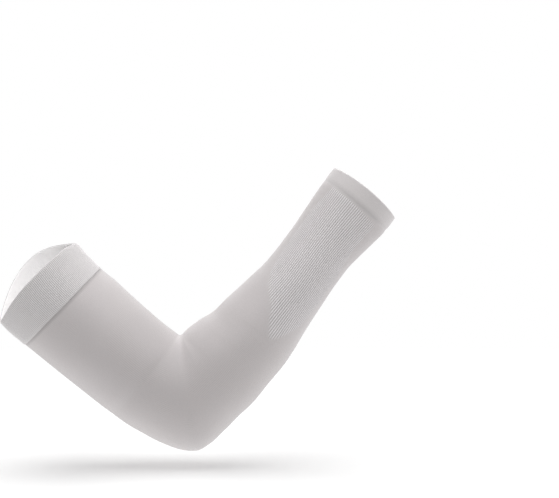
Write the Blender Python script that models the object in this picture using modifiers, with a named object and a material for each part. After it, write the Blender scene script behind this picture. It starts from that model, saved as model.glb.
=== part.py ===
"""A knitted arm sleeve in the shape that it takes on an arm bent at the elbow.

The sleeve is one tube of knit in four lengths: a doubled band round the upper arm, a plain body
that turns the elbow, a ribbed length along the forearm and a turned hem at the wrist.

Metres, +Z up. The origin is the middle of the elbow, inside the sleeve. The arm bends in the XZ
plane: the upper arm runs up to the left (-X), the forearm up to the right (+X), and the outer
side of the arm faces -Y.

Every cross-section is measured from the crease line, which lies along Y just above the fold of
the elbow. A section starts at its front, near that line, and reaches to its back, on the outside
of the bend. A station is a distance along the sleeve, from the upper rim to the wrist rim.
"""

from dataclasses import dataclass
from math import cos, pi, radians, sin

import bmesh
import bpy
from mathutils import Vector

# How the arm is held
UPPER_ARM_RISE = radians(38.7)  # upper arm above the horizontal, towards -X
FOREARM_RISE = radians(53.8)  # forearm above the horizontal, towards +X
SHOULDER_SWAY = 0.0165  # the upper rim's middle, towards -Y of the elbow
WRIST_SWAY = 0.013  # the wrist rim's middle, towards +Y of the elbow

# Lengths along the arm
UPPER_ARM_LENGTH = 0.1208  # from the bend to the upper rim, along the crease side
FOREARM_LENGTH = 0.1980  # from the bend to the wrist rim
BAND_LENGTH = 0.0300  # doubled band, measured at the front and back of the arm
RIM_SWELL = 0.0125  # how much higher the upper rim stands at the two sides of the arm
RIM_LEAN = 0.0030  # how much of that its outer side loses, and its inner side gains
RIM_SLANT = radians(6.0)  # the upper rim leans: it stands higher at the back of the arm
PLAIN_FOREARM_LENGTH = 0.0430  # plain knit on the forearm before the ribs start
HEM_LENGTH = 0.0150  # turned hem at the wrist
WRIST_SWELL = 0.0026  # how much further the wrist rim reaches at the two sides of the arm
WRIST_SLANT = radians(3.5)  # the wrist rim leans: it reaches further at the front of the arm

# Widths in the plane of the bend, and depths across it
UPPER_ARM_WIDTH = 0.0930
UPPER_ARM_DEPTH = 0.0880
ELBOW_REACH = 0.1066  # from the crease line to the point of the elbow
ELBOW_DEPTH = 0.0800
FOREARM_WIDTH = 0.0800
FOREARM_DEPTH = 0.0760

# Cloth
KNIT_WALL = 0.0010
BAND_WALL = 0.0018  # two layers of knit
HEM_WALL = 0.0016
BAND_STEP = 0.0005  # how far the doubled band stands proud of the plain knit
HEM_STEP = 0.0002
SEAM_GAP = 0.0003
FOLD_DEPTH = 0.0024  # the deepest of the soft folds in the crook of the arm

# Mesh fineness
POINTS_AROUND = 44
RING_SPACING = 0.0098
BEND_RING_SPACING = 0.0050

# Rows run from the upper rim to the elbow. along: share of UPPER_ARM_LENGTH, from the bend.
# front, back: shares of UPPER_ARM_WIDTH, from the crease line. depth: share of UPPER_ARM_DEPTH.
# full: how much fuller the front half is than the back half. sway: share of SHOULDER_SWAY.
# slant: share of RIM_SLANT.
UPPER_ARM_ROWS = (
    # along, front, back, depth, full, sway, slant
    (1.000, -0.064, 0.957, 1.000, 0.02, 1.00, 1.00),
    (0.910, -0.038, 0.977, 0.990, 0.02, 0.91, 1.00),
    (0.760, -0.012, 0.990, 0.985, 0.03, 0.75, 1.15),
    (0.630, -0.008, 0.998, 0.990, 0.04, 0.61, 1.00),
    (0.450, 0.013, 1.003, 1.000, 0.05, 0.42, 0.50),
    (0.270, 0.030, 1.009, 0.985, 0.06, 0.22, 0.22),
    (0.110, 0.042, 1.014, 0.960, 0.08, 0.07, 0.05),
)

# Rows run through the bend. turn: share of the bend. front, back: shares of ELBOW_REACH, from
# the crease line. depth: share of ELBOW_DEPTH.
ELBOW_ROWS = (
    # turn, front, back, depth, full
    (0.00, 0.034, 0.882, 1.020, 0.09),
    (0.16, 0.029, 0.893, 0.995, 0.11),
    (0.32, 0.026, 0.941, 0.980, 0.14),
    (0.42, 0.025, 0.983, 0.970, 0.16),
    (0.50, 0.024, 1.000, 0.965, 0.17),
    (0.57, 0.023, 0.966, 0.960, 0.17),
    (0.68, 0.022, 0.893, 0.960, 0.15),
    (0.82, 0.021, 0.842, 0.965, 0.12),
    (1.00, 0.022, 0.835, 0.970, 0.08),
)

# Rows run from the elbow to the wrist rim. along: share of FOREARM_LENGTH, from the bend.
# front, back: shares of FOREARM_WIDTH. depth: share of FOREARM_DEPTH. sway: share of WRIST_SWAY.
# slant: share of WRIST_SLANT.
FOREARM_ROWS = (
    # along, front, back, depth, full, sway, slant
    (0.090, 0.088, 1.124, 1.010, 0.06, 0.05, 0.00),
    (0.160, 0.157, 1.134, 1.000, 0.05, 0.10, 0.00),
    (0.230, 0.184, 1.126, 0.975, 0.04, 0.16, 0.00),
    (0.310, 0.225, 1.106, 0.930, 0.03, 0.24, 0.00),
    (0.390, 0.263, 1.092, 0.880, 0.03, 0.32, 0.00),
    (0.480, 0.303, 1.082, 0.825, 0.02, 0.42, 0.00),
    (0.570, 0.315, 1.073, 0.765, 0.01, 0.52, 0.05),
    (0.660, 0.317, 1.075, 0.705, 0.00, 0.62, 0.20),
    (0.750, 0.310, 1.103, 0.665, 0.00, 0.72, 0.45),
    (0.850, 0.301, 1.143, 0.655, 0.00, 0.83, 0.80),
    (0.930, 0.297, 1.170, 0.665, 0.00, 0.91, 1.00),
    (1.000, 0.304, 1.172, 0.680, 0.00, 1.00, 1.00),
)

# Soft folds in the crook of the arm, each on both sides of it. turn, width: shares of the bend.
# reach: how far round from the front it runs, as a share of half the way round.
# depth: share of FOLD_DEPTH.
FOLDS = (
    # turn, width, reach, depth
    (0.20, 0.10, 0.50, 0.40),
    (0.50, 0.15, 0.62, 1.00),
    (0.80, 0.11, 0.46, 0.35),
)

TURN = UPPER_ARM_RISE + FOREARM_RISE  # how far a section turns through the bend
ELBOW_ARC = TURN * ELBOW_REACH / 2
SLEEVE_LENGTH = UPPER_ARM_LENGTH + ELBOW_ARC + FOREARM_LENGTH
RIB_START = UPPER_ARM_LENGTH + ELBOW_ARC + PLAIN_FOREARM_LENGTH
HEM_START = SLEEVE_LENGTH - HEM_LENGTH
SWELL_LENGTH = BAND_LENGTH * 1.8  # the rim's swell dies out below the band


@dataclass(frozen=True)
class Row:
    """One section of the sleeve in metres, at its station."""

    station: float
    front: float
    back: float
    depth: float
    full: float
    sway: float = 0.0
    slant: float = 0.0


@dataclass(frozen=True)
class Knit:
    """One length of the tube: where it runs, its wall and how it looks."""

    name: str
    start: float
    end: float
    wall: float
    step: float
    colour: tuple
    roughness: float


def upper_arm_row(along, front, back, depth, full, sway, slant):
    return Row(
        UPPER_ARM_LENGTH * (1 - along),
        front * UPPER_ARM_WIDTH,
        back * UPPER_ARM_WIDTH,
        depth * UPPER_ARM_DEPTH,
        full,
        -sway * SHOULDER_SWAY,
        slant * RIM_SLANT,
    )


def elbow_row(turn, front, back, depth, full):
    return Row(
        UPPER_ARM_LENGTH + turn * ELBOW_ARC,
        front * ELBOW_REACH,
        back * ELBOW_REACH,
        depth * ELBOW_DEPTH,
        full,
    )


def forearm_row(along, front, back, depth, full, sway, slant):
    return Row(
        UPPER_ARM_LENGTH + ELBOW_ARC + along * FOREARM_LENGTH,
        front * FOREARM_WIDTH,
        back * FOREARM_WIDTH,
        depth * FOREARM_DEPTH,
        full,
        sway * WRIST_SWAY,
        slant * WRIST_SLANT,
    )


ROWS = (
    [upper_arm_row(*row) for row in UPPER_ARM_ROWS]
    + [elbow_row(*row) for row in ELBOW_ROWS]
    + [forearm_row(*row) for row in FOREARM_ROWS]
)


def tangent_at(slopes, i):
    """The slope at row i, level where the curve turns back, so that it never overshoots."""
    if i == 0 or i == len(slopes):
        return slopes[min(i, len(slopes) - 1)]
    before, after = slopes[i - 1], slopes[i]
    return 0.0 if before * after <= 0 else 2 * before * after / (before + after)


def smooth_value(station, column):
    """A column's value at a station, on a smooth curve through the rows."""
    at = [row.station for row in ROWS]
    values = [getattr(row, column) for row in ROWS]
    last = len(ROWS) - 1
    station = min(max(station, at[0]), at[last])
    slopes = [(values[i + 1] - values[i]) / (at[i + 1] - at[i]) for i in range(last)]
    i = max(k for k in range(last) if at[k] <= station)
    span = at[i + 1] - at[i]
    t = (station - at[i]) / span
    return (
        values[i] * (1 + 2 * t) * (1 - t) ** 2
        + tangent_at(slopes, i) * span * t * (1 - t) ** 2
        + values[i + 1] * t * t * (3 - 2 * t)
        + tangent_at(slopes, i + 1) * span * t * t * (t - 1)
    )


def bend_share(station):
    """How far through the bend a station lies, from below 0 on the upper arm to above 1."""
    return (station - UPPER_ARM_LENGTH) / ELBOW_ARC


def outward_at(station):
    """A section's direction from its front to its back."""
    turned = min(max(bend_share(station), 0), 1) * TURN
    heading = turned - pi / 2 - UPPER_ARM_RISE - smooth_value(station, "slant")
    return Vector((cos(heading), 0, sin(heading)))


def elbow_middle():
    """The middle of the section halfway through the bend, seen from the crease line."""
    station = UPPER_ARM_LENGTH + ELBOW_ARC / 2
    reach = smooth_value(station, "front") + smooth_value(station, "back")
    return outward_at(station) * reach / 2


def section_middle(station):
    """A section's middle, seen from the middle of the elbow."""
    upper_axis = Vector((-cos(UPPER_ARM_RISE), 0, sin(UPPER_ARM_RISE)))
    forearm_axis = Vector((cos(FOREARM_RISE), 0, sin(FOREARM_RISE)))
    middle = outward_at(station) * (smooth_value(station, "front") + smooth_value(station, "back")) / 2
    middle += upper_axis * max(UPPER_ARM_LENGTH - station, 0)
    middle += forearm_axis * max(station - UPPER_ARM_LENGTH - ELBOW_ARC, 0)
    middle -= elbow_middle()
    middle.y = smooth_value(station, "sway")
    return middle


def swell_at(station, angle):
    """How far a point moves along the arm, because the rims stand higher at its two sides."""
    upper = max(1 - station / SWELL_LENGTH, 0)
    wrist = max((station - HEM_START) / HEM_LENGTH, 0)
    swell = (wrist * WRIST_SWELL - upper * RIM_SWELL) * sin(angle) ** 2
    return swell - upper * RIM_LEAN * sin(angle)


def fold_at(station, angle):
    """How deep the folds press the knit in, at a station and an angle round from the front."""
    around = min(angle, 2 * pi - angle) / pi
    pressed = 0.0
    for turn, width, reach, depth in FOLDS:
        if around < reach:
            across = (bend_share(station) - turn) / width
            pressed += depth * FOLD_DEPTH * sin(pi * around / reach) ** 2 / (1 + across**4)
    return pressed


def section_points(station, step):
    """The outline of one section, standing step proud of the plain knit."""
    nudge = RING_SPACING / 10
    outward = outward_at(station)
    middle = section_middle(station)
    along = (section_middle(station + nudge) - section_middle(station - nudge)).normalized()
    across = along.cross(outward).normalized()
    half_width = (smooth_value(station, "back") - smooth_value(station, "front")) / 2 + step
    half_depth = smooth_value(station, "depth") / 2 + step
    full = smooth_value(station, "full")
    points = []
    for k in range(POINTS_AROUND):
        angle = 2 * pi * k / POINTS_AROUND
        spoke = across * half_depth * sin(angle) * (1 + full * cos(angle))
        spoke -= outward * half_width * cos(angle)
        spoke -= spoke.normalized() * fold_at(station, angle)
        points.append(middle + spoke + along * swell_at(station, angle))
    return points


def stations_of(knit):
    """The stations of one length of knit's rings, closer together through the bend."""
    bend = (UPPER_ARM_LENGTH, UPPER_ARM_LENGTH + ELBOW_ARC)
    marks = [knit.start, *(min(max(mark, knit.start), knit.end) for mark in bend), knit.end]
    stations = [knit.start]
    for low, high, spacing in zip(
        marks, marks[1:], (RING_SPACING, BEND_RING_SPACING, RING_SPACING)
    ):
        count = max(round((high - low) / spacing), 1)
        if high > low:
            stations += [low + (high - low) * (k + 1) / count for k in range(count)]
    return stations


def material_of(knit):
    material = bpy.data.materials.new(knit.name)
    material.use_nodes = True
    shader = material.node_tree.nodes["Principled BSDF"]
    shader.inputs["Base Color"].default_value = (*knit.colour, 1.0)
    shader.inputs["Roughness"].default_value = knit.roughness
    shader.inputs["Metallic"].default_value = 0.0
    return material


def tube_surface(knit, origin):
    """The open outer surface of one length of knit: a circle at each station, bridged in order."""
    surface = bmesh.new()
    previous = None
    for station in stations_of(knit):
        ring = bmesh.ops.create_circle(surface, segments=POINTS_AROUND, radius=1.0)["verts"]
        for vertex, point in zip(ring, section_points(station, knit.step)):
            vertex.co = point - origin
        edges = list({edge for vertex in ring for edge in vertex.link_edges})
        if previous:
            bmesh.ops.bridge_loops(surface, edges=previous + edges)
        previous = edges
    bmesh.ops.recalc_face_normals(surface, faces=surface.faces)
    return surface


def knit_tube(knit, collection, parent):
    """One length of the sleeve as a walled tube, with its origin in the middle of its upper end."""
    origin = section_middle(knit.start)
    surface = tube_surface(knit, origin)
    mesh = bpy.data.meshes.new(knit.name)
    surface.to_mesh(mesh)
    surface.free()
    mesh.materials.append(material_of(knit))
    mesh.shade_smooth()
    tube = bpy.data.objects.new(knit.name, mesh)
    collection.objects.link(tube)
    tube.parent = parent
    tube.location = origin
    wall = tube.modifiers.new("wall", "SOLIDIFY")
    wall.thickness = knit.wall
    wall.offset = -1.0
    wall.use_even_offset = True
    wall.use_rim = True
    return tube


BAND = Knit(
    name="upper_arm_band",
    start=0.0,
    end=BAND_LENGTH,
    wall=BAND_WALL,
    step=BAND_STEP,
    colour=(0.60, 0.58, 0.58),
    roughness=0.85,
)
BODY = Knit(
    name="plain_body",
    start=BAND_LENGTH + SEAM_GAP,
    end=RIB_START,
    wall=KNIT_WALL,
    step=0.0,
    colour=(0.56, 0.54, 0.54),
    roughness=0.80,
)
RIB = Knit(
    name="ribbed_forearm",
    start=RIB_START + SEAM_GAP,
    end=HEM_START,
    wall=KNIT_WALL,
    step=0.0,
    colour=(0.55, 0.53, 0.54),
    roughness=0.85,
)
HEM = Knit(
    name="wrist_hem",
    start=HEM_START + SEAM_GAP,
    end=SLEEVE_LENGTH,
    wall=HEM_WALL,
    step=HEM_STEP,
    colour=(0.58, 0.56, 0.57),
    roughness=0.80,
)


def main():
    for thing in list(bpy.data.objects):
        bpy.data.objects.remove(thing)
    collection = bpy.data.collections.new("arm_sleeve")
    bpy.context.scene.collection.children.link(collection)
    elbow = bpy.data.objects.new("elbow_middle", None)
    collection.objects.link(elbow)
    for knit in (BAND, BODY, RIB, HEM):
        knit_tube(knit, collection, elbow)


main()
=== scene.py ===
"""Dresses the arm sleeve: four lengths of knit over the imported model's solids, in a plain pale studio."""
import logging
from dataclasses import dataclass
from enum import Enum
from math import pi, radians, tau

import bpy
import numpy as np
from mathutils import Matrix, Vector


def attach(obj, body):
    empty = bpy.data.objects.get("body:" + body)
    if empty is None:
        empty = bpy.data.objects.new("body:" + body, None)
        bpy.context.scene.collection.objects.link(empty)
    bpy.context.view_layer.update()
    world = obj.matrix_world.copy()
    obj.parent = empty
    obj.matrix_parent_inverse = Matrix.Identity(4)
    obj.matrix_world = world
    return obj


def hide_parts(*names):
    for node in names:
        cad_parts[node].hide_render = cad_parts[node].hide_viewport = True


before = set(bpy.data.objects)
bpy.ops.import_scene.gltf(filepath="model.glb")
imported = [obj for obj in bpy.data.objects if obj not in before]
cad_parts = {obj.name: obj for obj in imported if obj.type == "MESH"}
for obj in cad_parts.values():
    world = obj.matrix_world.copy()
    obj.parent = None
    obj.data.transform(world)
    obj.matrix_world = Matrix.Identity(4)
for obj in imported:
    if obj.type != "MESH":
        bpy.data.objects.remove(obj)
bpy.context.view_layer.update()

MM = 0.001
Array = np.ndarray
Thing = bpy.types.Object
Socket = bpy.types.NodeSocket
Colour = tuple[float, float, float, float]
Numbers = tuple[tuple[float, ...], ...]
Pair = tuple[float, float]
Place = tuple[float, float, float]

log = logging.getLogger("arm_sleeve")


# The form that the bent arm gives the sleeve


@dataclass(frozen=True)
class Section:
    """One section across the sleeve, in metres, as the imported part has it.

    Station runs down the centre line from the upper rim. Front and back are measured from the line of
    the crease, on the inside of the elbow. Full pushes the depth towards the front, sway moves the
    section towards the far side of the arm, and slant tips it.
    """

    station: float
    front: float
    back: float
    depth: float
    full: float
    sway: float = 0.0
    slant: float = 0.0


def unit(vectors: Array) -> Array:
    """The same vectors, each of length one."""
    return vectors / np.linalg.norm(vectors, axis=-1, keepdims=True)


@dataclass(frozen=True)
class WornForm:
    """The bent arm's form: section by section, the skin that every length of knit follows.

    Stations run down the centre line in metres, and angles round a section from its front over its
    far side. The rows of upper_arm, elbow and forearm hold shares of the sizes above them. Sways
    and slants are largest at the rims, and a swell is how much higher a rim stands at its two
    sides. A nudge is how far on either side of a station the direction along the arm is taken.
    """

    upper_arm_rise: float = radians(38.7)
    forearm_rise: float = radians(53.8)
    upper_arm_length: float = 0.1208
    forearm_length: float = 0.1980
    upper_arm_width: float = 0.0930
    upper_arm_depth: float = 0.0880
    elbow_reach: float = 0.1066
    elbow_depth: float = 0.0800
    forearm_width: float = 0.0800
    forearm_depth: float = 0.0760
    shoulder_sway: float = 0.0165
    wrist_sway: float = 0.013
    rim_slant: float = radians(6.0)
    wrist_slant: float = radians(3.5)
    rim_swell: float = 0.0125
    rim_lean: float = 0.0030
    rim_rise: float = 0.0050
    rim_swell_length: float = 0.0540
    wrist_swell: float = 0.0026
    hem_length: float = 0.0150
    fold_depth: float = 0.0007
    nudge: float = 0.00098
    upper_arm: Numbers = (
        # along, front, back, depth, full, sway, slant
        (1.000, -0.064, 0.957, 1.000, 0.02, 1.00, 1.00),
        (0.910, -0.038, 0.977, 0.990, 0.02, 0.91, 1.00),
        (0.760, -0.012, 0.990, 0.985, 0.03, 0.75, 1.15),
        (0.630, -0.008, 0.998, 0.990, 0.04, 0.61, 1.00),
        (0.450, 0.013, 1.003, 1.000, 0.05, 0.42, 0.50),
        (0.270, 0.030, 1.009, 0.985, 0.06, 0.22, 0.22),
        (0.110, 0.042, 1.014, 0.960, 0.08, 0.07, 0.05),
    )
    elbow: Numbers = (
        # turn, front, back, depth, full
        (0.00, 0.034, 0.882, 1.020, 0.09),
        (0.16, 0.029, 0.893, 0.995, 0.11),
        (0.32, 0.026, 0.941, 0.980, 0.14),
        (0.42, 0.025, 0.983, 0.970, 0.16),
        (0.50, 0.024, 1.000, 0.965, 0.17),
        (0.57, 0.023, 0.966, 0.960, 0.17),
        (0.68, 0.022, 0.893, 0.960, 0.15),
        (0.82, 0.021, 0.842, 0.965, 0.12),
        (1.00, 0.022, 0.835, 0.970, 0.08),
    )
    forearm: Numbers = (
        # along, front, back, depth, full, sway, slant
        (0.090, 0.088, 1.124, 1.010, 0.06, 0.05, 0.00),
        (0.160, 0.157, 1.134, 1.000, 0.05, 0.10, 0.00),
        (0.230, 0.184, 1.126, 0.975, 0.04, 0.16, 0.00),
        (0.310, 0.225, 1.106, 0.930, 0.03, 0.24, 0.00),
        (0.390, 0.263, 1.092, 0.880, 0.03, 0.32, 0.00),
        (0.480, 0.303, 1.082, 0.825, 0.02, 0.42, 0.00),
        (0.570, 0.315, 1.073, 0.765, 0.01, 0.52, 0.05),
        (0.660, 0.317, 1.075, 0.705, 0.00, 0.62, 0.20),
        (0.750, 0.310, 1.103, 0.665, 0.00, 0.72, 0.45),
        (0.850, 0.301, 1.143, 0.655, 0.00, 0.83, 0.80),
        (0.930, 0.297, 1.170, 0.665, 0.00, 0.91, 1.00),
        (1.000, 0.304, 1.172, 0.680, 0.00, 1.00, 1.00),
    )
    crook_folds: Numbers = (
        # turn, width, reach, depth
        (0.20, 0.15, 0.50, 0.20),
        (0.50, 0.18, 0.62, 1.00),
        (0.80, 0.15, 0.46, 0.10),
    )

    @property
    def turn(self) -> float:
        """The angle of the bend."""
        return self.upper_arm_rise + self.forearm_rise

    @property
    def elbow_arc(self) -> float:
        """Length of the centre line round the elbow."""
        return self.turn * self.elbow_reach / 2

    @property
    def length(self) -> float:
        """Length of the whole centre line."""
        return self.upper_arm_length + self.elbow_arc + self.forearm_length

    def sections(self) -> list[Section]:
        """All sections from the upper rim to the wrist.

        Returns:
            The sections in metres, in the order of their stations.
        """
        found = []
        for along, front, back, depth, full, sway, slant in self.upper_arm:
            found.append(Section(
                self.upper_arm_length * (1 - along), front * self.upper_arm_width,
                back * self.upper_arm_width, depth * self.upper_arm_depth, full,
                -sway * self.shoulder_sway, slant * self.rim_slant,
            ))
        for turn, front, back, depth, full in self.elbow:
            found.append(Section(
                self.upper_arm_length + turn * self.elbow_arc, front * self.elbow_reach,
                back * self.elbow_reach, depth * self.elbow_depth, full,
            ))
        for along, front, back, depth, full, sway, slant in self.forearm:
            found.append(Section(
                self.upper_arm_length + self.elbow_arc + along * self.forearm_length,
                front * self.forearm_width, back * self.forearm_width, depth * self.forearm_depth, full,
                sway * self.wrist_sway, slant * self.wrist_slant,
            ))
        return found

    def smooth(self, stations: Array, column: str) -> Array:
        """Runs a smooth line with no overshoot through one column of the sections.

        Args:
            stations: distances along the centre line.
            column: name of the section's value.

        Returns:
            The value at each station.
        """
        sections = self.sections()
        x = np.array([section.station for section in sections])
        y = np.array([getattr(section, column) for section in sections])
        spans = np.diff(x)
        slopes = np.diff(y) / spans
        same_way = slopes[:-1] * slopes[1:] > 0
        tangents = np.zeros_like(x)
        both = np.where(same_way, slopes[:-1] + slopes[1:], 1)
        tangents[1:-1] = np.where(same_way, 2 * slopes[:-1] * slopes[1:] / both, 0)
        tangents[0], tangents[-1] = slopes[0], slopes[-1]
        inside = np.clip(stations, x[0], x[-1])
        i = np.clip(np.searchsorted(x, inside, side="right") - 1, 0, len(spans) - 1)
        t = (inside - x[i]) / spans[i]
        return (
            y[i] * (1 + 2 * t) * (1 - t) ** 2
            + tangents[i] * spans[i] * t * (1 - t) ** 2
            + y[i + 1] * t * t * (3 - 2 * t)
            + tangents[i + 1] * spans[i] * t * t * (t - 1)
        )

    def bend_share(self, stations: Array) -> Array:
        """How far through the bend each station lies, from below 0 on the upper arm to above 1."""
        return (stations - self.upper_arm_length) / self.elbow_arc

    def outward(self, stations: Array) -> Array:
        """The direction from a section's front to its back, at each station.

        Args:
            stations: distances along the centre line.

        Returns:
            One direction for each station.
        """
        turned = np.clip(self.bend_share(stations), 0, 1) * self.turn
        heading = turned - pi / 2 - self.upper_arm_rise - self.smooth(stations, "slant")
        return np.stack([np.cos(heading), np.zeros_like(heading), np.sin(heading)], -1)

    def from_crease(self, stations: Array) -> Array:
        """The way from the crease line to each section's middle."""
        reach = self.smooth(stations, "front") + self.smooth(stations, "back")
        return self.outward(stations) * reach[:, None] / 2

    def middle(self, stations: Array) -> Array:
        """The middle of the section at each station.

        Args:
            stations: distances along the centre line.

        Returns:
            One point for each station, seen from the middle of the elbow.
        """
        up_the_arm = np.array([-np.cos(self.upper_arm_rise), 0, np.sin(self.upper_arm_rise)])
        down_the_forearm = np.array([np.cos(self.forearm_rise), 0, np.sin(self.forearm_rise)])
        before = np.maximum(self.upper_arm_length - stations, 0)[:, None]
        after = np.maximum(stations - self.upper_arm_length - self.elbow_arc, 0)[:, None]
        halfway = np.array([self.upper_arm_length + self.elbow_arc / 2])
        points = self.from_crease(stations) + up_the_arm * before + down_the_forearm * after
        points -= self.from_crease(halfway)
        points[:, 1] = self.smooth(stations, "sway")
        return points

    def swell(self, stations: Array, angles: Array) -> Array:
        """How far each point moves along the arm, because the rims stand higher at its two sides.

        Args:
            stations: distances along the centre line.
            angles: angles round the section.

        Returns:
            The way down the arm in metres, stations by angles.
        """
        upper = np.maximum(1 - stations / self.rim_swell_length, 0)[:, None]
        hem_start = self.length - self.hem_length
        wrist = np.maximum((stations - hem_start) / self.hem_length, 0)[:, None]
        swell = (wrist * self.wrist_swell - upper * self.rim_swell) * np.sin(angles) ** 2
        front_rise = self.rim_rise * np.sin(2 * angles) * np.maximum(np.cos(angles), 0)
        return swell + upper * (front_rise - self.rim_lean * np.sin(angles))

    def fold(self, stations: Array, angles: Array) -> Array:
        """How deep the soft folds in the crook press the knit in.

        Args:
            stations: distances along the centre line.
            angles: angles round the section.

        Returns:
            The depth in metres, stations by angles.
        """
        around = np.minimum(angles, tau - angles) / pi
        share = self.bend_share(stations)[:, None]
        deep = np.zeros((len(stations), len(angles)))
        for turn, width, reach, depth in self.crook_folds:
            across = np.where(around < reach, np.sin(pi * np.minimum(around / reach, 1)) ** 2, 0)
            deep += depth * self.fold_depth * across / (1 + ((share - turn) / width) ** 4)
        return deep

    def skin(self, stations: Array, angles: Array) -> Array:
        """The sleeve's outer skin.

        Args:
            stations: distances along the centre line.
            angles: angles round the section.

        Returns:
            An array of points, stations by angles by three.
        """
        outward = self.outward(stations)
        inside = np.clip(stations, self.nudge, self.length - self.nudge)
        along = unit(self.middle(inside + self.nudge) - self.middle(inside - self.nudge))
        across = unit(np.cross(along, outward))[:, None]
        front, back, depth, full = (
            self.smooth(stations, name)[:, None, None] for name in ("front", "back", "depth", "full")
        )
        cosine, sine = np.cos(angles)[None, :, None], np.sin(angles)[None, :, None]
        spoke = across * depth / 2 * sine * (1 + full * cosine)
        spoke = spoke - outward[:, None] * (back - front) / 2 * cosine
        spoke -= unit(spoke) * self.fold(stations, angles)[..., None]
        moved = along[:, None] * self.swell(stations, angles)[..., None]
        return self.middle(stations)[:, None] + spoke + moved

    def face(self, stations: Array, angles: Array) -> Array:
        """The directions in which the skin faces outwards.

        Args:
            stations: distances along the centre line.
            angles: angles round the section.

        Returns:
            One direction for each point, stations by angles by three.
        """
        step, turn = 0.5 * MM, radians(0.5)
        inside = np.clip(stations, 3 * step, self.length - 3 * step)
        along = self.skin(inside + step, angles) - self.skin(inside - step, angles)
        around = self.skin(inside, angles + turn) - self.skin(inside, angles - turn)
        return unit(np.cross(along, around))


FORM = WornForm()


# The line that a wall of knit follows in section


class Layer(Enum):
    """Which side of the wall a row of points lies on."""

    OUTER = "outer"
    EDGE = "edge"
    INNER = "inner"


@dataclass(frozen=True)
class Row:
    """One ring of points round the sleeve: its station, its depth under the skin, and its layer."""

    station: float
    depth: float
    layer: Layer


def run(start: Pair, end: Pair, spacing: float, layer: Layer) -> list[Row]:
    """Rows at even steps from one place in the wall to another.

    Args:
        start: station and depth of the first row.
        end: station and depth where the next run starts, which is left out.
        spacing: about how far apart the rows lie.
        layer: the side of the wall that they lie on.

    Returns:
        The rows, the first at start.
    """
    on, down = end[0] - start[0], end[1] - start[1]
    steps = max(round(max(abs(on), abs(down)) / spacing), 1)
    shares = np.arange(steps) / steps
    return [Row(start[0] + on * t, start[1] + down * t, layer) for t in shares]


def turn_over(centre: Pair, radius: float, first: float, last: float, steps: int) -> list[Row]:
    """Rows round a folded edge.

    Args:
        centre: station and depth that the fold turns about.
        radius: how far from there the rows lie.
        first: angle of the first row, where 0 points down the arm and a quarter turn points inwards.
        last: angle of the last row.
        steps: how many rows.

    Returns:
        The rows from first to last, both kept.
    """
    station, depth = centre
    return [
        Row(station + radius * np.cos(angle), depth + radius * np.sin(angle), Layer.EDGE)
        for angle in np.linspace(first, last, steps)
    ]


# The finishes


class Nodes:
    """Adds nodes to one material, each with a short call."""

    def __init__(self, name: str) -> None:
        """Starts a new material with its own shader.

        Args:
            name: the material's name.
        """
        self.material = bpy.data.materials.new(name)
        self.material.use_nodes = True
        self.tree = self.material.node_tree
        self.shader = self.tree.nodes["Principled BSDF"]

    def add(self, kind: str, **inputs: object) -> bpy.types.Node:
        """Adds one node.

        Args:
            kind: its Blender type name, without ShaderNode.
            inputs: values or sockets for its inputs, by name with _ for a space.

        Returns:
            The node.
        """
        node = self.tree.nodes.new("ShaderNode" + kind)
        for name, value in inputs.items():
            self.join(value, node.inputs[name.replace("_", " ")])
        return node

    def join(self, value: object, socket: Socket) -> None:
        """Links a socket to an input, or sets the input to a plain value.

        Args:
            value: a socket, a number or a colour.
            socket: the input that takes it.
        """
        if isinstance(value, Socket):
            self.tree.links.new(value, socket)
        else:
            socket.default_value = value

    def math(self, operation: str, *values: object) -> Socket:
        """One sum on numbers or sockets.

        Args:
            operation: Blender's name of the sum.
            values: its terms, in order.

        Returns:
            The socket with the result.
        """
        node = self.tree.nodes.new("ShaderNodeMath")
        node.operation = operation
        for i, value in enumerate(values):
            self.join(value, node.inputs[i])
        return node.outputs[0]

    def blend(self, share: object, first: object, second: object) -> Socket:
        """Mixes two colours.

        Args:
            share: how much of the second colour there is, from 0 to 1.
            first: a colour or a socket.
            second: a colour or a socket.

        Returns:
            The socket with the result.
        """
        node = self.tree.nodes.new("ShaderNodeMix")
        node.data_type = "RGBA"
        self.join(share, node.inputs[0])
        self.join(first, node.inputs[6])
        self.join(second, node.inputs[7])
        return node.outputs[2]


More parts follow.
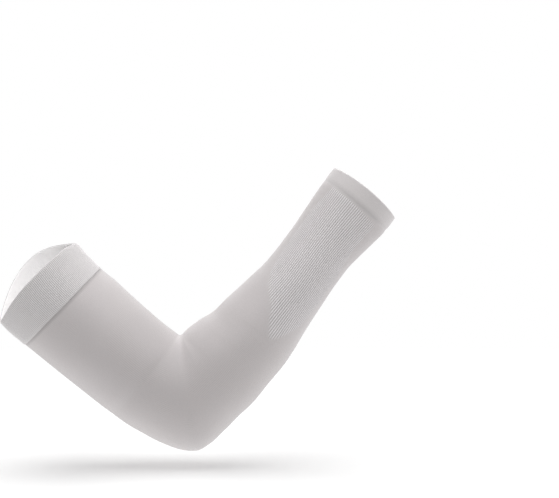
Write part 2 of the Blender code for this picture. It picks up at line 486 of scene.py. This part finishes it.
@dataclass(frozen=True)
class KnitFinish:
    """A knit of pale grey nylon and elastane: its yarn, ribs, stitches and sheen.

    Wales are the columns of stitches, counted once round the sleeve, and a course is the height of
    one row of them. A darkness is the share of the yarn's colour that is left where shade is painted
    in a gap or a groove. The ridge colour is a painted highlight on the ribs, and the inside colour is
    painted light that makes the knit's inner side paler.
    """

    name: str
    # The ridge colour is a painted highlight on the ribs, and the two shades below are painted shade in the
    # stitch gaps and the rib grooves.
    ridge_highlight_yarn: Colour
    painted_shade: float
    groove_shade: float
    yarn: Colour = (0.590, 0.556, 0.561, 1)
    warm_yarn: Colour = (0.612, 0.576, 0.571, 1)
    # Painted light: the inside colour makes the knit's inner side paler than its yarn.
    painted_lit_inside: Colour = (0.68, 0.655, 0.655, 1)
    wales: float = 540
    course: float = 0.42 * MM
    stitch_depth: float = 0.03 * MM
    line_shade: float = 0.0
    wales_in_line: float = 3.0
    line_patch_size: float = 34.0
    line_patch_contrast: float = 6.0
    line_patch_start: float = 2.6
    yarn_patch_size: float = 16.0
    fibre_size: float = 900.0
    fibre_relief: float = 0.25
    mottle: float = 0.32
    mottle_darkness: float = 0.6
    # The colours left where the painted shade is deepest, in a stitch gap and in a rib groove.
    gap_darkness: float = 0.55
    groove_darkness: float = 0.35
    loop_lean: float = 1.3
    loop_height: float = 0.3
    wale_roundness: float = 0.6
    roughness: float = 0.72
    roughness_spread: float = 0.12
    sheen: float = 0.45
    sheen_roughness: float = 0.45
    specular: float = 0.28

    def darker(self, share: float) -> Colour:
        """The yarn's colour, darkened to a share of itself."""
        return (*(channel * share for channel in self.yarn[:3]), 1.0)

    def material(self) -> bpy.types.Material:
        """Makes the material: stitches that follow the knit's own UV map, in slightly uneven yarn.

        Returns:
            The new material.
        """
        nodes = Nodes(self.name)
        inputs = nodes.shader.inputs
        inputs["Specular IOR Level"].default_value = self.specular
        inputs["Sheen Weight"].default_value = self.sheen
        inputs["Sheen Roughness"].default_value = self.sheen_roughness
        places = nodes.add("TexCoord").outputs["Object"]
        fibres = self.noise(nodes, places, self.fibre_size, 2.0, 0.6)
        around, down = self.stitch_place(nodes)
        height = self.stitch_height(nodes, around, down)
        # Painted shade in the gaps between stitches, where the stitches stand low.
        gaps = nodes.math("MULTIPLY", nodes.math("SUBTRACT", 1.0, height), self.painted_shade)
        gaps = nodes.math("ADD", self.wale_lines(nodes, around, places), gaps)
        nodes.join(self.colour(nodes, places, fibres, gaps), inputs["Base Color"])
        smoothest = self.roughness - self.roughness_spread / 2
        rough = nodes.math("MULTIPLY_ADD", fibres, self.roughness_spread, smoothest)
        nodes.join(rough, inputs["Roughness"])
        relief = nodes.math("MULTIPLY_ADD", fibres, self.fibre_relief, height)
        bump = nodes.add("Bump", Strength=1.0, Distance=self.stitch_depth, Height=relief)
        nodes.join(bump.outputs["Normal"], inputs["Normal"])
        return nodes.material

    def colour(self, nodes: Nodes, places: Socket, fibres: Socket, gaps: Socket) -> Socket:
        """Colours the yarn: uneven along its length, with painted shade in its gaps and grooves, a
        painted highlight on ridges and painted light on the knit's inner side.

        Args:
            nodes: the material's nodes.
            places: where each point of the piece lies.
            fibres: the fine unevenness of the yarn.
            gaps: how much painted shade each point takes in the gaps between stitches, with the faint wale
                lines added.

        Returns:
            The socket with the colour.
        """
        patches = self.noise(nodes, places, self.yarn_patch_size, 2.0, 0.5)
        yarn = nodes.blend(patches, self.yarn, self.warm_yarn)
        mottle = nodes.math("MULTIPLY", fibres, self.mottle)
        yarn = nodes.blend(mottle, yarn, self.darker(self.mottle_darkness))
        yarn = nodes.blend(gaps, yarn, self.darker(self.gap_darkness))
        # Painted highlight on the rib ridges, and painted shade in the rib grooves and along the seams.
        shade_and_highlight = self.attribute(nodes, "rib_tone")
        yarn = nodes.blend(nodes.math("MAXIMUM", shade_and_highlight, 0.0), yarn, self.ridge_highlight_yarn)
        groove = nodes.math("MAXIMUM", nodes.math("MULTIPLY", shade_and_highlight, -1.0), 0.0)
        groove = nodes.math("MULTIPLY", groove, self.groove_shade)
        yarn = nodes.blend(groove, yarn, self.darker(self.groove_darkness))
        # Painted light that makes the knit's inner side paler.
        return nodes.blend(self.attribute(nodes, "inside"), yarn, self.painted_lit_inside)

    def stitch_height(self, nodes: Nodes, around: Socket, down: Socket) -> Socket:
        """Shapes the stitches: rounded columns of slanting loops.

        Args:
            nodes: the material's nodes.
            around: the wale's number.
            down: the course's number.

        Returns:
            The socket with the height, from 0 in the gaps to 1.
        """
        side = nodes.math("ABSOLUTE", nodes.math("SUBTRACT", nodes.math("FRACT", around), 0.5))
        lean = nodes.math("MULTIPLY_ADD", side, self.loop_lean, down)
        loop = nodes.math("COSINE", nodes.math("MULTIPLY", lean, tau))
        loop = nodes.math("MULTIPLY_ADD", loop, self.loop_height, 1 - self.loop_height)
        wale = nodes.math("SINE", nodes.math("MULTIPLY", nodes.math("FRACT", around), pi))
        return nodes.math("MULTIPLY", loop, nodes.math("POWER", wale, self.wale_roundness))

    def wale_lines(self, nodes: Nodes, around: Socket, places: Socket) -> Socket:
        """Draws faint lines down the knit, one for every few wales, in patches.

        Args:
            nodes: the material's nodes.
            around: the wale's number.
            places: where each point of the piece lies.

        Returns:
            The socket with the lines' shade, which comes to nothing on the whole.
        """
        line = nodes.math("FRACT", nodes.math("DIVIDE", around, self.wales_in_line))
        line = nodes.math("SINE", nodes.math("MULTIPLY", line, pi))
        line = nodes.math("SUBTRACT", 2 / pi, line)
        patches = self.noise(nodes, places, self.line_patch_size, 1.0, 0.5)
        patches = nodes.math("MULTIPLY_ADD", patches, self.line_patch_contrast, -self.line_patch_start)
        patches = nodes.add("Clamp", Value=patches).outputs[0]
        return nodes.math("MULTIPLY", line, nodes.math("MULTIPLY", patches, self.line_shade))

    def stitch_place(self, nodes: Nodes) -> tuple[Socket, Socket]:
        """Counts stitches round the sleeve and down it.

        Args:
            nodes: the material's nodes.

        Returns:
            The sockets with the wale's number and the course's number.
        """
        sheet_map = nodes.add("UVMap")
        sheet_map.uv_map = "knit"
        sides = nodes.add("SeparateXYZ", Vector=sheet_map.outputs["UV"])
        around = nodes.math("MULTIPLY", sides.outputs["X"], self.wales)
        down = nodes.math("MULTIPLY", sides.outputs["Y"], 1 / self.course)
        return around, down

    @staticmethod
    def noise(nodes: Nodes, places: Socket, size: float, detail: float, roughness: float) -> Socket:
        """Adds a noise in the piece's own space, and returns the socket with its strength."""
        noise = nodes.add("TexNoise", Vector=places, Scale=size, Detail=detail, Roughness=roughness)
        return noise.outputs["Fac"]

    @staticmethod
    def attribute(nodes: Nodes, name: str) -> Socket:
        """Reads one of the numbers that the mesh keeps at its points.

        Args:
            nodes: the material's nodes.
            name: the attribute's name.

        Returns:
            The socket with the number.
        """
        node = nodes.add("Attribute")
        node.attribute_name = name
        return node.outputs["Fac"]


# The band's inside colour is painted light, far paler than its yarn.
BAND_KNIT = KnitFinish(
    "band_rib_knit", ridge_highlight_yarn=(0.738, 0.717, 0.719, 1), painted_shade=0.18, groove_shade=0.55,
    yarn=(0.637, 0.612, 0.619, 1), warm_yarn=(0.657, 0.629, 0.626, 1),
    painted_lit_inside=(0.96, 0.945, 0.945, 1), wales=388, course=0.55 * MM, stitch_depth=0.04 * MM,
)
PLAIN_KNIT = KnitFinish(
    "plain_knit", ridge_highlight_yarn=(0.60, 0.57, 0.57, 1), painted_shade=0.22, groove_shade=0.8,
    stitch_depth=0.04 * MM, line_shade=0.38,
)
FOREARM_KNIT = KnitFinish(
    "forearm_rib_knit", ridge_highlight_yarn=(0.76, 0.742, 0.758, 1), painted_shade=0.22, groove_shade=0.42,
)
HEM_KNIT = KnitFinish(
    "hem_knit", ridge_highlight_yarn=(0.7, 0.68, 0.68, 1), painted_shade=0.20, groove_shade=0.6,
    yarn=(0.645, 0.615, 0.620, 1), warm_yarn=(0.66, 0.63, 0.625, 1),
)


# The lengths of knit


class KnitTube:
    """A flat sheet of knit that is drawn round the worn form and closed along its seams."""

    outer_side_of_rim: float = 0.6
    same_place: float = 1e-7
    smooth_below: float = radians(75)

    def __init__(self, name: str, rows: list[Row], points: int) -> None:
        """Keeps what the tube is made from.

        Args:
            name: name of the finished piece.
            rows: the rings of its wall, out along the skin and back inside.
            points: how many points lie round each ring.
        """
        self.name = name
        self.rows = rows
        self.angles = np.arange(points) / points * tau
        self.stations = np.array([row.station for row in rows])
        self.depths = np.array([row.depth for row in rows])

    def weights(self, outer: float, edge: float, inner: float) -> Array:
        """One number for each row, by its layer."""
        by_layer = {Layer.OUTER: outer, Layer.EDGE: edge, Layer.INNER: inner}
        return np.array([by_layer[row.layer] for row in self.rows])[:, None]

    def wall(self) -> Array:
        """The smooth wall's points, rows by angles by three."""
        skin = FORM.skin(self.stations, self.angles)
        return skin - FORM.face(self.stations, self.angles) * self.depths[:, None, None]

    def painted_inside_light(self) -> Array:
        """How much painted light each row takes: all on the knit's inner side, and more on a folded rim
        late in its turn.

        Returns:
            From 0 on the outer side to 1 on the inner side, one number for each row.
        """
        through = (self.depths - self.depths.min()) / np.ptp(self.depths)
        turned = (through - self.outer_side_of_rim) / (1 - self.outer_side_of_rim)
        rim = self.weights(0.0, 1.0, 0.0) * np.clip(turned, 0, 1)[:, None]
        return self.weights(0.0, 0.0, 1.0) + rim

    @staticmethod
    def facing(points: Array) -> Array:
        """The directions in which a closed wall of points faces out of the knit.

        Args:
            points: the wall, rows by angles by three.

        Returns:
            One direction for each point, in the same order.
        """
        down = np.roll(points, -1, 0) - np.roll(points, 1, 0)
        around = np.roll(points, -1, 1) - np.roll(points, 1, 1)
        return unit(np.cross(down, around))

    def paths(self, points: Array) -> Array:
        """How far along the wall's line each row lies.

        Args:
            points: the wall, rows by angles by three.

        Returns:
            The way in metres for each row, with one more for the closing row.
        """
        steps = np.linalg.norm(np.roll(points, -1, 0) - points, axis=-1).mean(1)
        return np.concatenate([[0.0], np.cumsum(steps)])

    @staticmethod
    def keep(mesh: bpy.types.Mesh, name: str, values: Array) -> None:
        """Keeps one number at each point of the mesh, for the finish.

        Args:
            mesh: the knit's mesh, before its seams are closed.
            name: the attribute's name.
            values: the numbers, rows by angles.
        """
        closed = np.pad(values, ((0, 1), (0, 1)), mode="wrap").reshape(-1).astype(np.float32)
        mesh.attributes.new(name, "FLOAT", "POINT").data.foreach_set("value", closed)

    def make(self, relief: Array, shade_and_highlight: Array) -> Thing:
        """Makes the mesh.

        Args:
            relief: how far each point stands out of the smooth wall, rows by angles.
            shade_and_highlight: the painted shade and highlight at each point, from -1 for the deepest
                painted shade in a groove over 0 to 1 for the painted highlight on a ridge.

        Returns:
            The finished object, closed, smooth and with its place in its mesh.
        """
        points = self.wall()
        points = points + self.facing(points) * relief[..., None]
        paths = self.paths(points)
        closed = np.pad(points, ((0, 1), (0, 1), (0, 0)), mode="wrap")
        rows, columns = closed.shape[:2]
        bpy.ops.object.select_all(action="DESELECT")
        bpy.ops.mesh.primitive_grid_add(x_subdivisions=columns - 1, y_subdivisions=rows - 1, size=1)
        piece = bpy.context.object
        piece.name = piece.data.name = self.name
        mesh = piece.data
        mesh.vertices.foreach_set("co", closed.reshape(-1).astype(np.float32))
        # Painted highlight and shade go with each point to the finish.
        self.keep(mesh, "rib_tone", shade_and_highlight)
        # So does painted light on the knit's inner side.
        self.keep(mesh, "inside", self.painted_inside_light() + np.zeros_like(shade_and_highlight))
        corners = np.zeros(len(mesh.loops), np.int32)
        mesh.loops.foreach_get("vertex_index", corners)
        sheet_map = mesh.uv_layers[0]
        sheet_map.name = "knit"
        flat = np.stack([corners % columns / (columns - 1), paths[corners // columns]], -1)
        sheet_map.data.foreach_set("uv", flat.reshape(-1).astype(np.float32))
        bpy.ops.object.mode_set(mode="EDIT")
        bpy.ops.mesh.select_all(action="SELECT")
        bpy.ops.mesh.remove_doubles(threshold=self.same_place)
        bpy.ops.mesh.normals_make_consistent(inside=False)
        bpy.ops.object.mode_set(mode="OBJECT")
        bpy.ops.object.shade_smooth_by_angle(angle=self.smooth_below)
        return piece


def settle(piece: Thing, finish: KnitFinish, node: str) -> None:
    """Finishes one length of knit and gives it its place in the frame.

    Args:
        piece: the knit.
        finish: what it is made of.
        node: the solid that it stands for.
    """
    piece.data.materials.append(finish.material())
    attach(piece, "root")
    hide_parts(node)
    log.info("%s: %d faces", piece.name, len(piece.data.polygons))


def rib_wave(angles: Array, ribs: int, sharpness: float) -> Array:
    """Rounded ribs with narrow grooves, from 0 to 1, round the sleeve.

    Args:
        angles: angles round the section.
        ribs: how many ribs go round.
        sharpness: below 1 for broad ribs, above 1 for broad grooves.

    Returns:
        The height at each angle.
    """
    return (0.5 - 0.5 * np.cos(angles * ribs)) ** sharpness


@dataclass
class UpperArmBand:
    """The doubled, ribbed band round the upper arm, which laps over the start of the plain knit.

    The three shares say how much of the ribs is left round the rim, inside and at the lower edge.
    """

    length: float = 30.3 * MM
    lap: float = 1.8 * MM
    stand: float = 0.5 * MM
    wall: float = 1.8 * MM
    outer_step: float = 1.9 * MM
    edge_step: float = 0.7 * MM
    inner_step: float = 2.4 * MM
    ribs: int = 194
    points_per_rib: int = 6
    rib_depth: float = 0.24 * MM
    rib_sharpness: float = 0.75
    rim_share: float = 0.3
    inner_share: float = 0.4
    edge_share: float = 0.25
    edge_fade: float = 2.0 * MM
    edge_bead: float = 0.12 * MM
    bead_place: float = 1.0 * MM
    bead_width: float = 0.9 * MM
    flat: Pair = (0.24, 0.034)

    def rows(self) -> list[Row]:
        """The band's wall: down the outside, over the lap, up the inside and round the folded rim.

        Returns:
            The wall's rings, in that order.
        """
        inner = self.wall - self.stand
        radius = self.wall / 2
        lap_radius = self.stand / 2
        lap_end = self.length - lap_radius
        lap_start = self.length - self.lap
        rows = run((radius, -self.stand), (lap_end, -self.stand), self.outer_step, Layer.OUTER)
        rows += turn_over((lap_end, -lap_radius), lap_radius, -pi / 2, pi / 2, 5)
        rows += run((lap_start, 0), (lap_start, inner), self.edge_step, Layer.EDGE)
        rows += run((lap_start, inner), (radius, inner), self.inner_step, Layer.INNER)
        return rows + turn_over((radius, radius - self.stand), radius, pi / 2, 3 * pi / 2, 8)[:-1]

    def build(self) -> Thing:
        """Knits the band, with ribs along the arm on both sides of it.

        Returns:
            The band's mesh in its place.
        """
        tube = KnitTube("ribbed_band", self.rows(), self.ribs * self.points_per_rib)
        wave = rib_wave(tube.angles, self.ribs, self.rib_sharpness)[None]
        from_edge = self.length - tube.stations[:, None]
        kept = tube.weights(1.0, self.rim_share, self.inner_share)
        kept = kept * np.clip(from_edge / self.edge_fade, self.edge_share, 1)
        bead = np.exp(-(((from_edge - self.bead_place) / self.bead_width) ** 2))
        relief = (wave - 0.5) * self.rib_depth * kept
        relief = relief + self.edge_bead * bead * tube.weights(1.0, 0.0, 0.0)
        # Painted highlight on the ridges and painted shade in the grooves, as far as the ribs stand.
        return tube.make(relief, (2 * wave - 1) * kept)

    def dress(self, piece: Thing) -> None:
        """Gives the band its knit."""
        settle(piece, BAND_KNIT, "upper_arm_band")


@dataclass
class PlainBody:
    """The smooth plain knit over the upper arm, round the elbow and on to the forearm."""

    start: float = 28.7 * MM
    end: float = 250.0 * MM
    wall: float = 1.0 * MM
    start_depth: float = 0.02 * MM
    outer_step: float = 2.3 * MM
    edge_step: float = 1.0 * MM
    inner_step: float = 4.0 * MM
    points: int = 300
    ripple: float = 0.10 * MM
    ripple_fade: float = 12.0 * MM
    # Painted shadow under the band's lapped edge: where it lies, how wide it is and how dark.
    painted_shade_place: float = 30.9 * MM
    painted_shade_width: float = 0.8 * MM
    painted_seam_shade: float = 0.5
    flat: Pair = (0.215, 0.215)

    def rows(self) -> list[Row]:
        """The wall: down the outside and back up the inside, with square ends.

        Returns:
            The wall's rings, in that order.
        """
        top, low_end = (self.start, self.start_depth), (self.end, 0)
        inner_top, inner_end = (self.start, self.wall), (self.end, self.wall)
        rows = run(top, low_end, self.outer_step, Layer.OUTER)
        rows += run(low_end, inner_end, self.edge_step, Layer.EDGE)
        rows += run(inner_end, inner_top, self.inner_step, Layer.INNER)
        return rows + run(inner_top, top, self.edge_step, Layer.EDGE)

    def waves(self, tube: KnitTube) -> Array:
        """Long low waves that cross each other, a few round the sleeve and a few more down it.

        Args:
            tube: the body's wall.

        Returns:
            Their height at each point, within 1.5 of 0, rows by angles.
        """
        down, around = tube.stations[:, None] / self.end, tube.angles[None]
        broad = np.sin(3 * around + 9 * down) * np.sin(21 * down + 1.7 * np.cos(around))
        return broad + 0.5 * np.sin(5 * around - 26 * down)

    def build(self) -> Thing:
        """Knits the body, with the faint unevenness of cloth pulled over an arm.

        Returns:
            The body's mesh in its place.
        """
        tube = KnitTube("plain_elbow_knit", self.rows(), self.points)
        from_ends = (tube.stations - self.start) * (self.end - tube.stations)
        loose = np.clip(from_ends / self.ripple_fade**2, 0, 1)[:, None]
        relief = self.waves(tube) * self.ripple * loose * tube.weights(1.0, 0.0, -1.0)
        # Painted shadow along the line under the band's lapped edge.
        seam = np.exp(-(((tube.stations - self.painted_shade_place) / self.painted_shade_width) ** 2))[:, None]
        return tube.make(relief, np.zeros_like(relief) - self.painted_seam_shade * seam)

    def dress(self, piece: Thing) -> None:
        """Gives the body its knit."""
        settle(piece, PLAIN_KNIT, "plain_body")


@dataclass
class RibbedForearm:
    """The forearm's knit: a panel of ribs on each side, which starts in a point, between plain strips.

    The ribs end at ribs_end near the front, and end_rise earlier round the sleeve.
    """

    start: float = 250.0 * MM
    end: float = 390.0 * MM
    wall: float = 1.0 * MM
    seam_dip: float = 0.2 * MM
    seam_length: float = 2.0 * MM
    outer_step: float = 2.5 * MM
    seam_step: float = 0.5 * MM
    edge_step: float = 1.0 * MM
    inner_step: float = 4.0 * MM
    ribs: int = 108
    points_per_rib: int = 6
    rib_depth: float = 0.26 * MM
    rib_sharpness: float = 0.8
    inner_share: float = 0.6
    side_fade: float = radians(5.0)
    ribs_end: float = 391.5 * MM
    end_rise: float = 3.0 * MM
    rise_start: float = radians(75)
    rise_reach: float = radians(60)
    end_fade: float = 2.5 * MM
    flat: Pair = (0.165, 0.140)
    panel: Numbers = (
        # station in mm, first and last angle from the front in degrees
        (249.0, 110, 110),
        (251.0, 106, 113),
        (256.0, 100, 120),
        (263.0, 92, 129),
        (272.0, 84, 140),
        (286.0, 58, 146),
        (298.0, 40, 149),
        (312.0, 33, 149),
        (325.0, 31, 149),
        (340.0, 30, 144),
        (356.0, 30, 136),
        (375.0, 35, 132),
        (390.0, 41, 132),
    )

    def rows(self) -> list[Row]:
        """The wall: down the outside to the hem's seam and back up the inside, with square ends.

        Returns:
            The wall's rings, in that order.
        """
        seam = self.end - self.seam_length
        inner = self.wall + self.seam_dip
        rows = run((self.start, 0), (seam, 0), self.outer_step, Layer.OUTER)
        rows += run((seam, 0), (self.end, self.seam_dip), self.seam_step, Layer.OUTER)
        rows += run((self.end, self.seam_dip), (self.end, inner), self.edge_step, Layer.EDGE)
        rows += run((self.end, inner), (self.start, self.wall), self.inner_step, Layer.INNER)
        return rows + run((self.start, self.wall), (self.start, 0), self.edge_step, Layer.EDGE)

    def in_panel(self, stations: Array, angles: Array) -> Array:
        """How fully the ribs stand at each point.

        Args:
            stations: distances along the centre line.
            angles: angles round the section.

        Returns:
            From 0 in the plain strips to 1 inside the ribbed panels, stations by angles.
        """
        station, first, last = np.array(self.panel).T
        first = radians(1) * np.interp(stations / MM, station, first)[:, None]
        last = radians(1) * np.interp(stations / MM, station, last)[:, None]
        around = np.minimum(angles, tau - angles)[None]
        inside = np.minimum(around - first, last - around) / self.side_fade + 0.5
        end = self.ribs_end - self.end_rise * np.clip((around - self.rise_start) / self.rise_reach, 0, 1)
        before_end = (end - stations[:, None]) / self.end_fade
        share = np.clip(np.minimum(inside, before_end), 0, 1)
        return share * share * (3 - 2 * share)

    def build(self) -> Thing:
        """Knits the forearm, with its ribs pressed through to the inside.

        Returns:
            The forearm's mesh in its place.
        """
        tube = KnitTube("ribbed_forearm_knit", self.rows(), self.ribs * self.points_per_rib)
        wave = rib_wave(tube.angles, self.ribs, self.rib_sharpness)[None]
        kept = self.in_panel(tube.stations, tube.angles)
        relief = (wave - 0.5) * self.rib_depth * kept * tube.weights(1.0, 0.0, self.inner_share)
        # Painted highlight on the ridges and painted shade in the grooves, as far as the ribs stand.
        return tube.make(relief, (2 * wave - 1) * kept)

    def dress(self, piece: Thing) -> None:
        """Gives the forearm its knit."""
        settle(piece, FOREARM_KNIT, "ribbed_forearm")


@dataclass
class WristHem:
    """The plain knit turned in and doubled at the wrist, with the shallow valley along its seam.

    The seam's valley has painted shade, deepest at one angle from the front and keeping a least share of
    its depth everywhere else.
    """

    start: float = 390.0 * MM
    wall: float = 1.6 * MM
    single_wall: float = 1.0 * MM
    stand: float = 0.2 * MM
    seam_dip: float = 0.2 * MM
    valley_depth: float = 0.25 * MM
    valley: float = 1.5 * MM
    slope_end: float = 5.0 * MM
    rim_end: float = 1.0 * MM
    turned_edge: float = 2.5 * MM
    valley_step: float = 0.5 * MM
    slope_step: float = 0.6 * MM
    outer_step: float = 0.9 * MM
    inner_step: float = 1.5 * MM
    single_step: float = 0.8 * MM
    # Painted shade along the seam's valley: where it lies, how wide, how deep, and round which side it is
    # deepest.
    painted_shade_place: float = 1.6 * MM
    painted_shade_width: float = 1.9 * MM
    painted_seam_shade: float = 0.45
    painted_shade_least: float = 0.3
    painted_shade_side: float = radians(97)
    painted_shade_reach: float = radians(38)
    points: int = 324
    flat: Pair = (0.16, 0.016)

    def rows(self) -> list[Row]:
        """The wall: out of the seam's valley, round the folded rim and back to the turned-in edge.

        Returns:
            The wall's rings, in that order.
        """
        radius = self.wall / 2
        rim = FORM.length - radius
        inner = self.wall - self.stand
        single = self.seam_dip + self.single_wall
        valley, slope_end = self.start + self.valley, self.start + self.slope_end
        low, high = (valley, self.valley_depth), (slope_end, -self.stand)
        edge = (self.start + self.turned_edge, inner)
        rows = run((self.start, self.seam_dip), low, self.valley_step, Layer.OUTER)
        rows += run(low, high, self.slope_step, Layer.OUTER)
        rows += run(high, (rim, -self.stand), self.outer_step, Layer.OUTER)
        rows += turn_over((rim, radius - self.stand), radius, -pi / 2, pi / 2, 8)
        rows += run((rim - self.rim_end, inner), edge, self.inner_step, Layer.INNER)
        rows += run((valley, single), (self.start, single), self.single_step, Layer.INNER)
        return rows + [Row(self.start, single, Layer.EDGE)]

    def build(self) -> Thing:
        """Knits the hem.

        Returns:
            The hem's mesh in its place.
        """
        tube = KnitTube("turned_wrist_hem", self.rows(), self.points)
        # Painted shade along the seam's valley, deepest on one side.
        around = np.minimum(tube.angles, tau - tube.angles)[None]
        beside = np.exp(-(((around - self.painted_shade_side) / self.painted_shade_reach) ** 4))
        from_seam = tube.stations - self.start - self.painted_shade_place
        seam = np.exp(-((from_seam / self.painted_shade_width) ** 2))[:, None]
        painted_shade = self.painted_seam_shade * seam * (self.painted_shade_least + (1 - self.painted_shade_least) * beside)
        return tube.make(np.zeros_like(painted_shade), -painted_shade)

    def dress(self, piece: Thing) -> None:
        """Gives the hem its knit."""
        settle(piece, HEM_KNIT, "wrist_hem")


# The studio


@dataclass(frozen=True)
class PaperFinish:
    """The floor's white paper, with a faint grain and a faint glow."""

    glow: float = 0.26
    roughness: float = 0.9
    specular: float = 0.1
    grain_size: float = 30.0
    colour: Colour = (0.77, 0.77, 0.77, 1)
    grain_colour: Colour = (0.78, 0.78, 0.78, 1)

    def material(self) -> bpy.types.Material:
        """Makes the material.

        Returns:
            The new material.
        """
        nodes = Nodes("white_paper")
        inputs = nodes.shader.inputs
        inputs["Roughness"].default_value = self.roughness
        inputs["Specular IOR Level"].default_value = self.specular
        inputs["Emission Color"].default_value = (1, 1, 1, 1)
        inputs["Emission Strength"].default_value = self.glow
        places = nodes.add("TexCoord").outputs["Object"]
        grain = nodes.add("TexNoise", Vector=places, Scale=self.grain_size)
        colour = nodes.blend(grain.outputs["Fac"], self.colour, self.grain_colour)
        nodes.join(colour, inputs["Base Color"])
        return nodes.material


@dataclass
class Studio:
    """A white floor against a white world, softboxes on all sides, and the camera."""

    floor_height: float = -0.0655
    floor_size: float = 1.6
    floor_light: float = 95.0
    floor_light_height: float = 3.0
    floor_light_size: float = 3.0
    camera_place: Place = (0.0799, -1.4875, 0.2315)
    camera_tilt: float = radians(86.0)
    camera_sight: float = 100.0
    lens: float = 109.15
    sensor: float = 36.0
    sky: float = 0.35
    aim: Place = (0.05, 0.0, 0.05)
    reach: float = 1.8
    box_size: float = 1.0
    softboxes: tuple[tuple[str, Place, float], ...] = (
        # name, the way to it from the sleeve, watts
        ("under_softbox", (0.0, 0.1, -1.0), 27.2),
        ("high_front_softbox", (0.0, -0.7, 0.7), 21.4),
        ("high_back_softbox", (0.0, 0.7, 0.7), 14.1),
        ("right_softbox", (1.0, 0.2, 0.0), 13.6),
        ("low_left_softbox", (-0.8, 0.2, -0.5), 9.7),
        ("high_right_softbox", (0.8, 0.2, 0.6), 6.9),
        ("overhead_softbox", (0.0, 0.1, 1.0), 6.3),
        ("back_left_softbox", (-0.6, 0.6, 0.5), 4.3),
    )

    def lay_floor(self) -> None:
        """Lays the pale floor, which throws no light up at the sleeve."""
        bpy.ops.object.select_all(action="DESELECT")
        bpy.ops.mesh.primitive_plane_add(size=self.floor_size, location=(0, 0, self.floor_height))
        floor = bpy.context.object
        floor.name = "pale_floor"
        bpy.ops.object.transform_apply(location=True, rotation=True, scale=True)
        floor.data.materials.append(PaperFinish().material())
        floor.visible_diffuse = False
        floor.visible_glossy = False
        floor.visible_shadow = False
        self.light_floor(floor)

    def light_floor(self, floor: Thing) -> None:
        """Gives the floor a light of its own, and hides it from the others.

        Args:
            floor: the floor.
        """
        height, power = self.floor_light_height, self.floor_light
        overhead = self.hang_softbox("floor_softbox", (0, 0, 1), height, power)
        overhead.data.size = self.floor_light_size
        for lamp in [thing for thing in bpy.data.objects if thing.type == "LIGHT"]:
            lit = bpy.data.collections.new("lit_by_" + lamp.name)
            lit.objects.link(floor)
            link = lit.collection_objects[0].light_linking
            link.link_state = "INCLUDE" if lamp == overhead else "EXCLUDE"
            lamp.light_linking.receiver_collection = lit

    def hang_softbox(self, name: str, way: Place, reach: float, power: float) -> Thing:
        """Hangs one square light that points at the sleeve.

        Args:
            name: the light's name.
            way: the direction in which it hangs, from the sleeve.
            reach: how far away it hangs.
            power: its power in watts.

        Returns:
            The light.
        """
        to_light = Vector(way).normalized()
        place = Vector(self.aim) + to_light * reach
        turned = to_light.to_track_quat("Z", "Y").to_euler()
        bpy.ops.object.light_add(type="AREA", location=place, rotation=turned)
        lamp = bpy.context.object
        lamp.name = name
        lamp.visible_camera = False
        lamp.data.shape = "SQUARE"
        lamp.data.size = self.box_size
        lamp.data.energy = power
        return lamp

    def light_up(self) -> None:
        """Hangs the softboxes, and makes a world that is white behind the sleeve and dim round it."""
        for name, way, power in self.softboxes:
            self.hang_softbox(name, way, self.reach, power)
        world = bpy.data.worlds.new("pale_studio")
        bpy.context.scene.world = world
        world.use_nodes = True
        tree = world.node_tree
        around = tree.nodes["Background"]
        around.inputs["Color"].default_value = (1, 1, 1, 1)
        around.inputs["Strength"].default_value = self.sky
        seen = tree.nodes.new("ShaderNodeBackground")
        seen.inputs["Color"].default_value = (1, 1, 1, 1)
        rays = tree.nodes.new("ShaderNodeLightPath")
        chosen = tree.nodes.new("ShaderNodeMixShader")
        tree.links.new(rays.outputs["Is Camera Ray"], chosen.inputs[0])
        tree.links.new(around.outputs[0], chosen.inputs[1])
        tree.links.new(seen.outputs[0], chosen.inputs[2])
        tree.links.new(chosen.outputs[0], tree.nodes["World Output"].inputs["Surface"])
        bpy.context.scene.view_settings.view_transform = "Standard"

    def set_camera(self) -> None:
        """Sets the camera, level with the elbow and a little above it."""
        bpy.ops.object.camera_add(location=self.camera_place, rotation=(self.camera_tilt, 0, 0))
        camera = bpy.context.object
        camera.data.lens = self.lens
        camera.data.sensor_width = self.sensor
        camera.data.clip_end = self.camera_sight
        bpy.context.scene.camera = camera


def main() -> None:
    """Builds and dresses the sleeve from its upper rim to its wrist, then sets up the studio."""
    logging.basicConfig(level=logging.INFO, format="%(name)s %(message)s")
    for length_of_knit in (UpperArmBand(), PlainBody(), RibbedForearm(), WristHem()):
        length_of_knit.dress(length_of_knit.build())
    studio = Studio()
    studio.light_up()
    studio.lay_floor()
    studio.set_camera()


if __name__ == "__main__":
    main()
